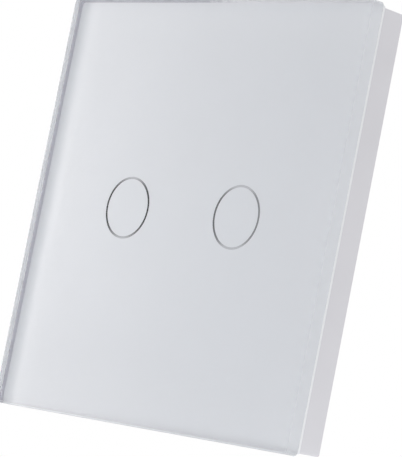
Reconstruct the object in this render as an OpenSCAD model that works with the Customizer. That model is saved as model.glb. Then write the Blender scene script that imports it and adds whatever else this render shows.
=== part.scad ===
// Two-way touch light switch: a glass front panel that clips onto a wall part with two relays.
// X is right, Y goes into the wall and Z is up. The origin is the centre of the switch on the wall's face.

/* [Glass] */
// Width and height of the square glass
panel_size = 80; // [78:0.5:90]
// Thickness of the glass
glass_t = 3.8; // [3:0.1:5]
// Radius of the glass's upright corners
glass_r = 0.8; // [0.7:0.1:3]
// Width of the polished arris on the front edge of the glass
arris = 0.3; // [0.1:0.05:0.6]
// Width of the ground seam on the back edge of the glass
seam_w = 0.42; // [0.2:0.02:0.6]
// Depth of that seam
seam_d = 0.9; // [0.3:0.1:1.5]
// Thickness of the print on the back of the glass
print_t = 0.1; // [0.05:0.01:0.2]
// Distance between the two ring marks
ring_spacing = 29.5; // [28:0.5:32]
// Diameter of a ring mark, at the middle of its line
ring_d = 11.4; // [9:0.1:13]
// Width of a ring mark's line
ring_line = 0.35; // [0.2:0.05:0.8]

/* [Panel frame] */
// How far the frame is set in from the edge of the glass
frame_inset = 0.7; // [0.3:0.1:1.2]
// Distance from the back of the glass to the wall
stand_off = 5.2; // [4.8:0.1:7]
// Thickness of the frame's outer wall
frame_wall = 1.8; // [1.2:0.1:2.2]
// Radius of the frame's upright corners
frame_r = 0.4; // [0.3:0.1:1.6]
// Width of the frame's flange, from the outside of the frame
flange_w = 9; // [6:0.5:12]
// Thickness of the flange
flange_t = 1; // [0.7:0.1:1.3]
// Thickness of the tape between print and flange
tape_t = 0.4; // [0.2:0.05:0.6]
// Width of the rim that hides the tape's edge
rim_w = 1.2; // [0.8:0.1:1.8]
// Width of the notch for prying the panel off
pry_w = 10; // [6:0.5:16]
// Depth of the pry notch, from the wall
pry_h = 1.5; // [0.8:0.1:2]

/* [Panel clips] */
// Width of a clip
clip_w = 8; // [5:0.5:12]
// Thickness of the clip's leaf
clip_t = 0.3; // [0.2:0.05:0.4]
// Distance between the clips on one side
clip_spacing = 40; // [30:1:50]
// How far a clip's nose reaches into its notch
clip_bite = 0.35; // [0.2:0.05:0.45]
// Depth of the notch for a clip's nose
notch_d = 0.6; // [0.55:0.05:0.9]

/* [Mounting plate] */
// Thickness of the steel plate
plate_t = 1; // [0.8:0.1:1.2]
// Gap between the plate's edge and the frame
plate_gap = 1.2; // [0.8:0.1:2]
// Radius of the plate's corners
plate_r = 4; // [2:0.5:6]
// Distance between the two fixing slots
fixing_spacing = 60; // [58:0.5:61]
// Length of a fixing slot
slot_l = 8; // [6:0.5:8.5]
// Width of a fixing slot
slot_w = 3.8; // [3.4:0.1:4.5]

/* [Base cover] */
// Gap between the cover's edge and the frame
cover_gap = 1; // [0.8:0.05:1.2]
// Thickness of the cover's front
cover_t = 1.2; // [0.9:0.1:1.3]
// Thickness of the cover's side walls
cover_side = 1.6; // [1.2:0.1:1.8]
// Radius of the cover's corners
cover_r = 3; // [1:0.5:5]
// Gap between the cover and the frame's flange
cover_clear = 0.3; // [0.2:0.05:0.5]
// Width of the window over a fixing slot
access_w = 9; // [8.6:0.1:9.4]
// Height of the window over a fixing slot
access_h = 14; // [9:0.5:20]
// Diameter of a heat stake
stake_d = 2; // [1.5:0.1:3]
// Diameter of the shoulder of a heat stake
stake_shoulder_d = 4; // [3.4:0.1:6]
// Distance of a heat stake from the plate's edges
stake_inset = 6; // [4.5:0.5:8]
// Inside diameter of a light well
well_d = 12.4; // [11.6:0.1:13]
// Wall of a light well
well_wall = 1; // [0.6:0.1:1.4]
// Gap between a light well and the print
well_gap = 0.2; // [0.1:0.05:0.4]

/* [Rear housing] */
// Thickness of the housing's walls
housing_wall = 1.6; // [1.4:0.1:2]
// Radius of the housing's outer corners
housing_r = 2; // [1:0.25:3]
// Gap between the housing and the plate's opening
housing_gap = 0.5; // [0.3:0.1:0.8]
// Width of a screw boss
boss_w = 4.8; // [4.2:0.1:5.4]
// How far a board rib stands out of the housing's wall
rib_d = 1; // [0.8:0.1:1.4]
// Width of a board rib
rib_w = 4; // [2:0.5:6]
// Distance between the ribs on one wall
rib_spacing = 16; // [12:1:18]
// Thickness of the partitions between the terminals
partition_t = 1; // [0.6:0.1:1.4]

/* [Housing screws] */
// Shank diameter of a housing screw
screw_d = 2.2; // [1.8:0.1:2.6]
// Head diameter of a housing screw
screw_head_d = 4; // [3.4:0.1:4.4]
// Head height of a housing screw
screw_head_h = 1; // [0.8:0.05:1.15]
// How far a housing screw goes into its boss
screw_bite = 5; // [3:0.5:7]
// Length, width and depth of the cross in a housing screw's head
cross_l = 2.4; // [1.8:0.1:3]
cross_w = 0.6; // [0.4:0.05:0.8]
cross_h = 0.6; // [0.4:0.05:0.7]

/* [Touch board] */
// Thickness of the touch board
touch_board_t = 1; // [0.8:0.1:1.6]
// Gap between the touch board and the cover
touch_gap = 1.6; // [1.5:0.1:2.2]
// Gap between the boards and the housing's walls
board_gap = 0.4; // [0.2:0.05:0.5]
// Width, height and thickness of the touch chip
chip_w = 4; // [3:0.1:5]
chip_l = 10; // [6:0.1:12]
chip_t = 1.3; // [0.8:0.1:1.4]
// Diameter of a touch spring, at the middle of its wire
spring_d = 10; // [9:0.1:10.4]
// Wire diameter of a touch spring
spring_wire = 0.6; // [0.5:0.05:0.65]
// Turns of a touch spring
spring_turns = 3; // [2:1:3]
// Outside diameter of a light cap
cap_d = 6.6; // [6.4:0.1:7.4]
// Wall of a light cap
cap_wall = 0.7; // [0.5:0.05:0.8]
// Width and height of an indicator light
led_w = 3.4; // [2.8:0.1:3.6]
led_h = 2.8; // [2:0.1:3]
// Thickness of an indicator light
led_t = 1.2; // [0.8:0.1:1.6]
// Diameter and height of an indicator light's lens
lens_d = 2.2; // [1.6:0.1:2.6]
lens_h = 0.6; // [0.3:0.1:0.8]

/* [Board header] */
// Number of pins
pin_count = 5; // [3:1:7]
// Distance between pins
pin_pitch = 2.54; // [2:0.02:2.54]
// Width of a square pin
pin_w = 0.64; // [0.5:0.02:0.8]
// Height of the header's block, which sets the boards apart
header_h = 2.5; // [2:0.1:4]

/* [Power board] */
// Thickness of the power board
power_board_t = 1.4; // [1:0.1:1.8]
// Gap between neighbouring parts on the power board
part_gap = 1; // [0.8:0.1:1.4]
// Gap between the tallest part and the housing's back
parts_clear = 1; // [0.5:0.1:2]
// Width, length and height of the film capacitor
film_w = 7; // [5:0.1:8]
film_l = 13; // [10:0.1:14]
film_h = 9.6; // [7:0.1:11]
// Width, length and height of the transformer
trafo_w = 8; // [7:0.1:9]
trafo_l = 10.4; // [8:0.1:12]
trafo_h = 9.4; // [7:0.1:11]
// Thickness of the transformer's iron
trafo_iron = 2; // [1.4:0.1:2.4]
// Diameter and height of the electrolytic capacitor
can_d = 7; // [5:0.1:8]
can_h = 10; // [7:0.1:11]
// Diameter and thickness of the varistor
varistor_d = 7; // [5:0.1:8]
varistor_t = 3.4; // [2.4:0.1:4]
// Width, length and height of the bridge rectifier
bridge_w = 6.4; // [4:0.1:7]
bridge_l = 4.8; // [4:0.1:5]
bridge_h = 2.6; // [2:0.1:3]
// Diameter and length of the fuse resistor
fuse_d = 2.6; // [2:0.1:3.2]
fuse_l = 7; // [5:0.1:8]
// Wire diameter of the leads
lead_d = 0.6; // [0.5:0.05:0.8]

/* [Relays] */
// Width, length and height of a relay
relay_w = 10; // [9.4:0.1:11]
relay_l = 20; // [19:0.1:21]
relay_h = 10; // [9.8:0.1:12]
// Wall of a relay's case
relay_wall = 0.6; // [0.5:0.05:0.8]
// Thickness of a relay's base
relay_base_t = 1.2; // [0.8:0.1:1.4]
// Width of a coil's square flanges
bobbin_w = 6.4; // [5.6:0.1:6.6]
// Length of a coil
coil_l = 10; // [8:0.1:10.8]
// Thickness of a coil's flanges
bobbin_t = 0.8; // [0.6:0.1:1.2]
// Diameter of a coil's winding
winding_d = 5.6; // [4.4:0.1:5.8]
// Diameter of a relay's core
core_d = 2.4; // [1.8:0.1:3]
// Diameter and thickness of a core's pole
pole_d = 4; // [3.2:0.1:4.6]
pole_t = 0.6; // [0.4:0.1:0.8]
// Thickness of a relay's yoke and armature
iron_t = 0.8; // [0.6:0.05:0.9]
// Width of a relay's yoke and armature
iron_w = 5; // [4:0.1:6]
// Angle through which the armature closes
armature_angle = 3.5; // [2:0.1:4]
// Diameter and height of a contact rivet
rivet_d = 1.8; // [1.4:0.1:2.2]
rivet_h = 0.5; // [0.3:0.05:0.7]
// Thickness and width of a fixed contact's strip
contact_t = 0.5; // [0.4:0.05:0.8]
contact_w = 3; // [2.4:0.1:4]

/* [Terminals] */
// Distance between terminals
terminal_pitch = 11; // [10:0.1:11.5]
// Width and depth of a wire clamp
clamp_w = 6.6; // [6.4:0.1:7.4]
clamp_l = 6; // [5:0.1:7]
// Wall of a wire clamp
clamp_wall = 1; // [0.8:0.05:1]
// Thickness of a wire clamp's threaded end
clamp_top = 1.2; // [1:0.1:1.6]
// Room for the wire, with the clamp open
wire_room = 4.2; // [4.1:0.1:5]
// How far a wire clamp rises
clamp_travel = 3; // [2:0.1:3.4]
// Gap between a clamp and the board, and a clamp and the housing
clamp_gap = 0.4; // [0.3:0.05:0.6]
// Thickness and width of a contact bar
bar_t = 0.8; // [0.6:0.05:1]
bar_w = 4; // [3:0.1:4.2]
// Thread diameter of a terminal screw
terminal_d = 2.9; // [2.5:0.1:3.2]
// Head diameter of a terminal screw
terminal_head_d = 5; // [4.4:0.1:5.6]
// Thickness of the ledge under a terminal screw's head
ledge_t = 0.5; // [0.4:0.05:0.7]
// Width and depth of a terminal screw's slot
driver_w = 0.8; // [0.6:0.05:1]
driver_h = 0.6; // [0.4:0.05:0.8]

/* [Hidden] */
$fn = 48;

// How far a cutting shape runs past what it cuts
over = 1;
// Running clearance of a turning or sliding fit, on the radius
running = 0.05;
// Gap between flat faces of pieces that move on each other
slip = 0.02;

// Depths, from the front of the glass to the back of the housing
glass_back = -stand_off;
glass_front = glass_back - glass_t;
print_back = glass_back + print_t;
flange_front = print_back + tape_t;
flange_back = flange_front + flange_t;
cover_front = flange_back + cover_clear;
cover_inside = cover_front + cover_t;
touch_front = cover_inside + touch_gap;
touch_back = touch_front + touch_board_t;
power_front = touch_back + header_h;
power_back = power_front + power_board_t;

// Terminal depths: the clamp at rest lies open, with its wire room before the contact bar
bar_clear = 0.3;
clamp_front = power_back + clamp_gap;
wire_front = clamp_front + clamp_wall;
bar_front = wire_front + wire_room;
bar_back = bar_front + bar_t;
clamp_back = bar_back + bar_clear + clamp_top;
terminal_stack = clamp_back + clamp_travel + clamp_gap / 2 - power_back;
parts_h = max([relay_h, film_h, trafo_h, can_h, varistor_d + lead_d]) + parts_clear;
rear_inside = power_back + max(terminal_stack, parts_h);
rear_outside = rear_inside + housing_wall;
ledge_back = rear_inside + ledge_t;

// Widths
frame_size = panel_size - 2 * frame_inset;
frame_inner = frame_size - 2 * frame_wall;
flange_window = frame_size - 2 * flange_w;
cover_size = frame_inner - 2 * cover_gap;
plate_size = frame_inner - 2 * plate_gap;
parts_row = 2 * relay_w + film_w + trafo_w + 5 * part_gap + 2 * rib_d;
touch_row = ring_spacing + spring_d + spring_wire + 2 * part_gap;
housing_inner = max(parts_row, touch_row);
housing_size = housing_inner + 2 * housing_wall;
board_size = housing_inner - 2 * board_gap;
boss_at = housing_inner / 2 - boss_w / 2;
stake_at = plate_size / 2 - stake_inset;
plate_opening = housing_size + 2 * housing_gap;
screw_clear = 0.2;
screw_tip_room = 0.5;

// Terminals stand along the bottom wall of the housing
terminal_x = [-terminal_pitch, 0, terminal_pitch];
clamp_bottom = -housing_inner / 2 + clamp_gap;
clamp_z = clamp_bottom + clamp_l / 2;
bar_leg_z = clamp_bottom + clamp_l + clamp_gap;
wire_w = clamp_w - 2 * clamp_wall;

// Parts on the power board, in a row from the left with its lower edge above the terminals
row_bottom = bar_leg_z + bar_t + part_gap;
relay_left_x = -housing_inner / 2 + rib_d + part_gap + relay_w / 2;
relay_right_x = relay_left_x + relay_w + part_gap;
relay_z = row_bottom + relay_l / 2;
film_x = relay_right_x + relay_w / 2 + part_gap + film_w / 2;
film_z = row_bottom + film_l / 2;
trafo_x = film_x + film_w / 2 + part_gap + trafo_w / 2;
trafo_z = row_bottom + trafo_l / 2;
can_x = film_x;
can_z = row_bottom + film_l + part_gap + can_d / 2;
varistor_x = trafo_x;
varistor_z = row_bottom + trafo_l + part_gap + varistor_d / 2;
upper_z = relay_z + relay_l / 2 + part_gap;
bridge_x = relay_left_x;
bridge_z = upper_z + bridge_l / 2;
header_z = board_size / 2 - 2 * pin_pitch;
header_x = relay_right_x;
fuse_x = header_x + pin_count * pin_pitch / 2 + part_gap + fuse_l / 2 + lead_d;
fuse_z = header_z;
pin_tail = 1;

// Inside a relay: Y is height above the power board, and the coil lies along Z with its pole downwards
relay_end = relay_l / 2 - relay_wall;
yoke_gap = 0.2;
coil_top = relay_end - yoke_gap - iron_t;
pole_face = coil_top - coil_l - pole_t;
coil_y = relay_base_t + bobbin_w / 2;
yoke_y = relay_base_t + bobbin_w;
hinge_y = yoke_y + iron_t / 2;
pole_reach = hinge_y - coil_y + pole_d / 2;
pole_gap = pole_reach * tan(armature_angle) + running;
armature_face = pole_face - pole_gap;
hinge_z = armature_face + running + iron_t / 2;
contact_z = -relay_end + rivet_d / 2 + part_gap;
contact_gap = (hinge_z - contact_z + rivet_d / 2) * sin(armature_angle) + slip;
armature_foot = relay_base_t + bobbin_w / 2 - pole_d / 2 - iron_t / 2;
contact_top = yoke_y - rivet_h - contact_gap;

// A flat shape in X and Z, drawn out along Y
module slab(y0, y1) {
    translate([0, y1, 0]) rotate([90, 0, 0]) linear_extrude(y1 - y0) children();
}

// A round rod along Y
module rod(d, y0, y1, x = 0, z = 0) {
    translate([x, y1, z]) rotate([90, 0, 0]) cylinder(d = d, h = y1 - y0);
}

// A block centred on x and z
module block(x, z, w, h, y0, y1) {
    slab(y0, y1) translate([x, z]) square([w, h], center = true);
}

// A square with true round corners
module rounded_square(w, r) {
    square([w - 2 * r, w], center = true);
    square([w, w - 2 * r], center = true);
    for (sx = [-1, 1], sz = [-1, 1]) translate([sx, sz] * (w / 2 - r)) circle(r);
}

// Section of the glass, with the arris at its front and the seam at its back
module glass_section(w) {
    front = -glass_t / 2;
    back = glass_t / 2;
    polygon([
        [-w / 2 + arris, front], [w / 2 - arris, front], [w / 2, front + arris], [w / 2, back - seam_d],
        [w / 2 - seam_w, back], [-w / 2 + seam_w, back], [-w / 2, back - seam_d], [-w / 2, front + arris]
    ]);
}

// Copies at the four corners of a square
module corners(at) {
    for (sx = [-1, 1], sz = [-1, 1]) translate([sx * at, 0, sz * at]) children();
}

// A strip of even thickness along a bent centre line
function unit(v) = v / norm(v);
function left(v) = [-v.y, v.x];
function ahead(p, i) = unit(p[min(i + 1, len(p) - 1)] - p[min(i, len(p) - 2)]);
function behind(p, i) = unit(p[max(i, 1)] - p[max(i - 1, 0)]);
function mitre(p, i) = let (n = unit(left(ahead(p, i)) + left(behind(p, i)))) n / (n * left(ahead(p, i)));
function strip(p, t) = concat(
    [for (i = [0 : len(p) - 1]) p[i] + mitre(p, i) * t / 2],
    [for (i = [len(p) - 1 : -1 : 0]) p[i] - mitre(p, i) * t / 2]
);

// Front panel

// Two crossed bars and four round posts, all with the same section, make a plate with round corners
module glass_panel() {
    straight = panel_size - 2 * glass_r;
    color("GhostWhite") translate([0, (glass_front + glass_back) / 2, 0]) {
        for (turn = [0, 90]) rotate([0, turn + 90, 0])
            linear_extrude(straight, center = true) glass_section(panel_size);
        corners(straight / 2) rotate([-90, 0, 0]) rotate_extrude() intersection() {
            glass_section(2 * glass_r);
            translate([0, -glass_t]) square([glass_r, 2 * glass_t]);
        }
    }
}

module ring_2d(line) {
    difference() {
        circle(d = ring_d + line);
        circle(d = ring_d - line);
    }
}

module back_print() {
    color("Gainsboro") slab(glass_back, print_back) difference() {
        rounded_square(panel_size - 2 * seam_w, glass_r - seam_w);
        for (s = [-1, 1]) translate([s * ring_spacing / 2, 0]) ring_2d(ring_line + 2 * slip);
    }
}

module ring_mark(side) {
    color("DimGray") slab(glass_back, print_back) translate([side * ring_spacing / 2, 0]) ring_2d(ring_line);
}

module panel_tape() {
    color("WhiteSmoke") slab(print_back, flange_front) difference() {
        rounded_square(frame_size - 2 * rim_w - 2 * slip, frame_r);
        rounded_square(flange_window, frame_r);
    }
}

module panel_frame() {
    color("White") difference() {
        slab(print_back, 0) rounded_square(frame_size, frame_r);
        slab(print_back - over, flange_front) rounded_square(frame_size - 2 * rim_w, frame_r);
        slab(print_back - over, over) rounded_square(flange_window, frame_r);
        slab(flange_back, over) rounded_square(frame_inner, frame_r);
        block(0, -frame_size / 2, pry_w, 2 * frame_wall + over, -pry_h, over);
    }
}

// Profile of one clip: a leg on the frame's wall, folded back to a nose. The first number is the way inwards.
clip_foot = -plate_t / 2;
clip_nose = (flange_back + clip_foot) / 2;
clip_profile = [
    [clip_t / 2, cover_front], [clip_t / 2, clip_foot],
    [cover_gap + clip_bite - clip_t / 2, clip_nose], [cover_gap / 2 + clip_t / 2, cover_front + clip_t]
];

module panel_clips() {
    color("Silver") for (sx = [-1, 1], sz = [-1, 1])
        translate([0, 0, sz * clip_spacing / 2 - clip_w / 2]) linear_extrude(clip_w)
            polygon(strip([for (p = clip_profile) [sx * (frame_inner / 2 - p.x), p.y]], clip_t));
}

// Wall part

module fixing_slots() {
    for (s = [-1, 1]) translate([s * fixing_spacing / 2, 0, 0]) {
        block(0, 0, slot_l - slot_w, slot_w, -plate_t - over, over);
        for (e = [-1, 1]) rod(slot_w, -plate_t - over, over, x = e * (slot_l - slot_w) / 2);
    }
}

module mounting_plate() {
    color("LightSteelBlue") difference() {
        slab(-plate_t, 0) rounded_square(plate_size, plate_r);
        slab(-plate_t - over, over) rounded_square(plate_opening, housing_r);
        fixing_slots();
        corners(stake_at) rod(stake_d + 2 * running, -plate_t - over, over);
    }
}

module base_cover() {
    color("White") difference() {
        union() {
            slab(cover_front, cover_inside) rounded_square(cover_size, cover_r);
            slab(cover_inside, -plate_t) difference() {
                rounded_square(cover_size, cover_r);
                rounded_square(cover_size - 2 * cover_side, cover_r / 2);
            }
            corners(boss_at) rod(boss_w - 2 * slip, cover_inside, touch_front);
            corners(stake_at) rod(stake_shoulder_d, cover_inside, -plate_t);
            corners(stake_at) rod(stake_d, cover_inside, -running);
            for (s = [-1, 1])
                rod(well_d + 2 * well_wall, print_back + well_gap, cover_inside, x = s * ring_spacing / 2);
        }
        for (s = [-1, 1]) {
            rod(well_d, print_back, cover_inside + over, x = s * ring_spacing / 2);
            block(s * fixing_spacing / 2, 0, access_w, access_h, cover_front - over, -plate_t + over);
        }
        corners(boss_at) {
            rod(screw_d + 2 * screw_clear, cover_front - over, touch_front + over);
            rod(screw_head_d + 2 * screw_clear, cover_front - over, cover_front + screw_head_h);
        }
        for (sx = [-1, 1], sz = [-1, 1])
            block(
                sx * cover_size / 2, sz * clip_spacing / 2, 2 * notch_d, clip_w + 2 * cover_gap,
                cover_front + clip_t + clip_bite, -plate_t + over
            );
    }
}

module rear_housing() {
    color("WhiteSmoke") difference() {
        union() {
            difference() {
                slab(cover_inside, rear_outside) rounded_square(housing_size, housing_r);
                slab(cover_inside - over, rear_inside) square(housing_inner, center = true);
            }
            corners(boss_at) block(0, 0, boss_w, boss_w, touch_back, rear_inside);
            for (sx = [-1, 1], sz = [-1, 1])
                block(
                    sx * (housing_inner - rib_d) / 2, sz * rib_spacing / 2, rib_d, rib_w,
                    power_back, rear_inside
                );
            for (s = [-1, 1])
                block(
                    s * terminal_pitch / 2, clamp_z, partition_t, clamp_l + 2 * clamp_gap,
                    clamp_front, rear_inside
                );
        }
        corners(boss_at) rod(screw_d + 2 * slip, touch_back - over, touch_back + screw_bite + screw_tip_room);
        for (x = terminal_x) {
            rod(terminal_d + 4 * running, rear_inside - over, rear_outside + over, x = x, z = clamp_z);
            rod(terminal_head_d + 2 * screw_clear, ledge_back, rear_outside + over, x = x, z = clamp_z);
            block(
                x, -(housing_inner + housing_wall) / 2, wire_w, housing_wall + over,
                wire_front, bar_front
            );
        }
    }
}

module housing_screws() {
    head_back = cover_front + screw_head_h;
    color("Silver") corners(boss_at) difference() {
        union() {
            rod(screw_head_d, cover_front, head_back);
            rod(screw_d, cover_front, touch_back + screw_bite);
        }
        block(0, 0, cross_l, cross_w, cover_front - over, cover_front + cross_h);
        block(0, 0, cross_w, cross_l, cover_front - over, cover_front + cross_h);
    }
}

// Touch board and what stands on it

module pin_row(w, y0, y1) {
    for (i = [0 : pin_count - 1])
        block(header_x + (i - (pin_count - 1) / 2) * pin_pitch, header_z, w, w, y0, y1);
}

module touch_board() {
    color("DarkGreen") difference() {
        slab(touch_front, touch_back) square(board_size, center = true);
        corners(boss_at) rod(screw_d + 2 * screw_clear, touch_front - over, touch_back + over);
        pin_row(pin_w + 2 * running, touch_front - over, touch_back + over);
    }
}

chip_lead_l = 1;
chip_lead_w = 0.4;
chip_lead_t = 0.2;
chip_lead_pitch = 1.27;

module touch_chip() {
    leads = floor((chip_l - chip_lead_pitch / 2) / chip_lead_pitch);
    color("DimGray") {
        block(0, 0, chip_w, chip_l, touch_front - chip_t, touch_front - chip_lead_t / 2);
        for (s = [-1, 1], i = [0 : leads - 1])
            block(
                s * (chip_w + chip_lead_l) / 2, (i - (leads - 1) / 2) * chip_lead_pitch,
                chip_lead_l + chip_lead_t, chip_lead_w, touch_front - chip_lead_t, touch_front
            );
    }
}

resistor_w = 1.6;
resistor_l = 0.8;
resistor_t = 0.5;
resistor_pitch = 2;

module chip_resistors() {
    color("Black") for (s = [-1, 1], i = [0 : 2])
        block(
            s * (chip_w + resistor_w) / 2, s * (chip_l / 2 + (i + 1) * resistor_pitch),
            resistor_w, resistor_l, touch_front - resistor_t, touch_front
        );
}

module led(side) {
    color("LightYellow") {
        block(side * ring_spacing / 2, 0, led_w, led_h, touch_front - led_t, touch_front);
        rod(lens_d, touch_front - led_t - lens_h, touch_front - led_t, x = side * ring_spacing / 2);
    }
}

module light_cap(side) {
    color("Snow") difference() {
        rod(cap_d, print_back + well_gap, touch_front, x = side * ring_spacing / 2);
        rod(
            cap_d - 2 * cap_wall, print_back + well_gap + cap_wall, touch_front + over,
            x = side * ring_spacing / 2
        );
    }
}

// A touch spring is one tube: a straight foot on the board, the turns, and a straight end against the print
spring_rings = 8;
spring_sides = 6;
spring_gap = 0.05;
spring_h = touch_front - print_back - spring_gap;
spring_steps = spring_turns * spring_rings;
function spring_at(angle, rise) = [spring_d / 2 * cos(angle), touch_front - rise, spring_d / 2 * sin(angle)];
spring_path = concat(
    [spring_at(0, 0)],
    [for (i = [0 : spring_steps])
        spring_at(360 * i / spring_rings, spring_wire + (spring_h - 2 * spring_wire) * i / spring_steps)],
    [spring_at(360 * spring_turns, spring_h)]
);
spring_last = len(spring_path) - 1;
function spring_angle(i) = 360 * max(0, min(spring_steps, i - 1)) / spring_rings;
// At either end the tube is cut square to the board and the print
function spring_along(i) = i == 0 || i == spring_last ? [0, -1, 0]
    : unit(unit(spring_path[i + 1] - spring_path[i]) + unit(spring_path[i] - spring_path[i - 1]));
function spring_ring(i) = let (
    out = [cos(spring_angle(i)), 0, sin(spring_angle(i))],
    side = unit(cross(spring_along(i), out))
) [for (k = [0 : spring_sides - 1])
    let (turn = 360 * k / spring_sides)
        spring_path[i] + spring_wire / 2 * (cos(turn) * out + sin(turn) * side)];
spring_points = [for (i = [0 : spring_last]) each spring_ring(i)];
spring_faces = concat(
    [for (k = [1 : spring_sides - 2]) [0, k, k + 1]],
    [for (i = [0 : spring_last - 1], k = [0 : spring_sides - 1]) let (
        a = i * spring_sides + k,
        b = i * spring_sides + (k + 1) % spring_sides
    ) each [[a, a + spring_sides, b], [b, a + spring_sides, b + spring_sides]]],
    [for (k = [1 : spring_sides - 2]) let (a = spring_last * spring_sides) [a, a + k + 1, a + k]]
);
spring_least_gap = min([for (i = [0 : spring_last], j = [i + spring_rings / 2 : 1 : spring_last])
    norm(spring_path[i] - spring_path[j])]) - spring_wire;
echo(spring_least_gap = spring_least_gap);

module touch_spring(side) {
    color("Gold") translate([side * ring_spacing / 2, 0, 0]) polyhedron(spring_points, spring_faces);
}

// Header between the boards

module header_block() {
    color("Black") difference() {
        block(header_x, header_z, pin_count * pin_pitch, pin_pitch, touch_back, power_front);
        pin_row(pin_w, touch_back - over, power_front + over);
    }
}

module header_pins() {
    color("Gold") pin_row(pin_w, touch_front - pin_tail / 2, power_back + pin_tail);
}

// Power board and what stands on it

module power_board() {
    notch = 2 * (boss_w + board_gap);
    color("DarkGreen") difference() {
        slab(power_front, power_back) square(board_size, center = true);
        corners(housing_inner / 2) block(0, 0, notch, notch, power_front - over, power_back + over);
        pin_row(pin_w + 2 * running, power_front - over, power_back + over);
    }
}

module relay_place(side) {
    translate([side < 0 ? relay_left_x : relay_right_x, power_back, relay_z]) children();
}

module relay_case(side) {
    color("RoyalBlue") relay_place(side) difference() {
        block(0, 0, relay_w, relay_l, 0, relay_h);
        block(0, 0, relay_w - 2 * relay_wall, relay_l - 2 * relay_wall, -over, relay_h - relay_wall);
    }
}

module relay_base(side) {
    inner = 2 * (relay_wall + running);
    color("DimGray") relay_place(side) block(0, 0, relay_w - inner, relay_l - inner, 0, relay_base_t);
}

module relay_coil(side) {
    color("Chocolate") relay_place(side) translate([0, coil_y, coil_top - coil_l]) difference() {
        union() {
            cylinder(d = winding_d, h = coil_l);
            for (z = [0, coil_l - bobbin_t])
                translate([-bobbin_w / 2, -bobbin_w / 2, z]) cube([bobbin_w, bobbin_w, bobbin_t]);
        }
        translate([0, 0, -over]) cylinder(d = core_d + 2 * slip, h = coil_l + 2 * over);
    }
}

module relay_iron(side) {
    color("SlateGray") relay_place(side) {
        translate([0, coil_y, pole_face]) cylinder(d = pole_d, h = pole_t);
        translate([0, coil_y, pole_face]) cylinder(d = core_d, h = pole_t + coil_l + iron_t);
        translate([-iron_w / 2, relay_base_t, coil_top]) cube([iron_w, bobbin_w + iron_t, iron_t]);
        translate([-iron_w / 2, yoke_y, hinge_z]) cube([iron_w, iron_t, coil_top + iron_t - hinge_z]);
        translate([-iron_w / 2, hinge_y, hinge_z]) rotate([0, 90, 0]) cylinder(d = iron_t, h = iron_w);
    }
}

module relay_armature(side) {
    arm_end = contact_z - rivet_d / 2 - slip;
    color("LightSlateGray") relay_place(side) {
        translate([-iron_w / 2, armature_foot, armature_face - iron_t])
            cube([iron_w, yoke_y + iron_t - armature_foot, iron_t]);
        translate([-iron_w / 2, yoke_y, arm_end]) cube([iron_w, iron_t, armature_face - arm_end]);
        rod(rivet_d, yoke_y - rivet_h, yoke_y, z = contact_z);
    }
}

module relay_contact(side) {
    strip_end = contact_z + rivet_d / 2;
    strip_foot = contact_z - rivet_d / 2 - contact_t;
    color("Goldenrod") relay_place(side) {
        rod(rivet_d, contact_top - rivet_h, contact_top, z = contact_z);
        block(0, (strip_end + strip_foot) / 2, contact_w, strip_end - strip_foot,
            contact_top - rivet_h - contact_t, contact_top - rivet_h);
        block(0, strip_foot + contact_t / 2, contact_w, contact_t, relay_base_t, contact_top - rivet_h);
    }
}

module film_capacitor() {
    color("Gold") block(film_x, film_z, film_w, film_l, power_back, power_back + film_h);
}

module electrolytic_capacitor() {
    groove_at = 1.6;
    groove_h = 0.8;
    groove_d = 0.4;
    profile = [
        [0, 0], [can_d / 2, 0], [can_d / 2, groove_at], [can_d / 2 - groove_d, groove_at],
        [can_d / 2 - groove_d, groove_at + groove_h], [can_d / 2, groove_at + groove_h],
        [can_d / 2, can_h], [0, can_h]
    ];
    color("DarkSlateBlue") translate([can_x, power_back, can_z]) rotate([-90, 0, 0])
        rotate_extrude() polygon(profile);
}

module power_transformer() {
    color("SaddleBrown") difference() {
        block(trafo_x, trafo_z, trafo_w, trafo_l, power_back, power_back + trafo_h);
        for (s = [-1, 1])
            block(
                trafo_x + s * trafo_w / 2, trafo_z, trafo_iron, trafo_l - 2 * trafo_iron,
                power_back + trafo_iron, power_back + trafo_h - trafo_iron
            );
    }
}

module varistor() {
    lift = lead_d;
    color("SteelBlue") {
        translate([varistor_x - varistor_t / 2, power_back + lift + varistor_d / 2, varistor_z])
            rotate([0, 90, 0]) cylinder(d = varistor_d, h = varistor_t);
        for (s = [-1, 1])
            rod(
                lead_d, power_back, power_back + lift + varistor_d / 2,
                x = varistor_x, z = varistor_z + s * varistor_d / 4
            );
    }
}

module bridge_rectifier() {
    color("Black") block(bridge_x, bridge_z, bridge_w, bridge_l, power_back, power_back + bridge_h);
}

module fuse_resistor() {
    axis_y = power_back + lead_d / 2 + fuse_d / 2;
    color("Tan") {
        translate([fuse_x - fuse_l / 2, axis_y, fuse_z]) rotate([0, 90, 0]) cylinder(d = fuse_d, h = fuse_l);
        for (s = [-1, 1])
            block(
                fuse_x + s * (fuse_l + lead_d) / 2, fuse_z, lead_d, fuse_d / 2,
                power_back, axis_y + fuse_d / 4
            );
    }
}

// Terminals

module terminal_bars() {
    bar_tip = clamp_bottom + clamp_gap;
    color("Goldenrod") for (x = terminal_x) {
        block(x, (bar_tip + bar_leg_z + bar_t) / 2, bar_w, bar_leg_z + bar_t - bar_tip, bar_front, bar_back);
        block(x, bar_leg_z + bar_t / 2, bar_w, bar_t, power_back, bar_back);
    }
}

module terminal_screw(i) {
    color("Silver") translate([terminal_x[i - 1], 0, clamp_z]) difference() {
        union() {
            rod(terminal_head_d, ledge_back + slip, rear_outside);
            rod(terminal_d, bar_back + slip, rear_outside);
        }
        block(0, 0, terminal_head_d + over, driver_w, rear_outside - driver_h, rear_outside + over);
    }
}

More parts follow.
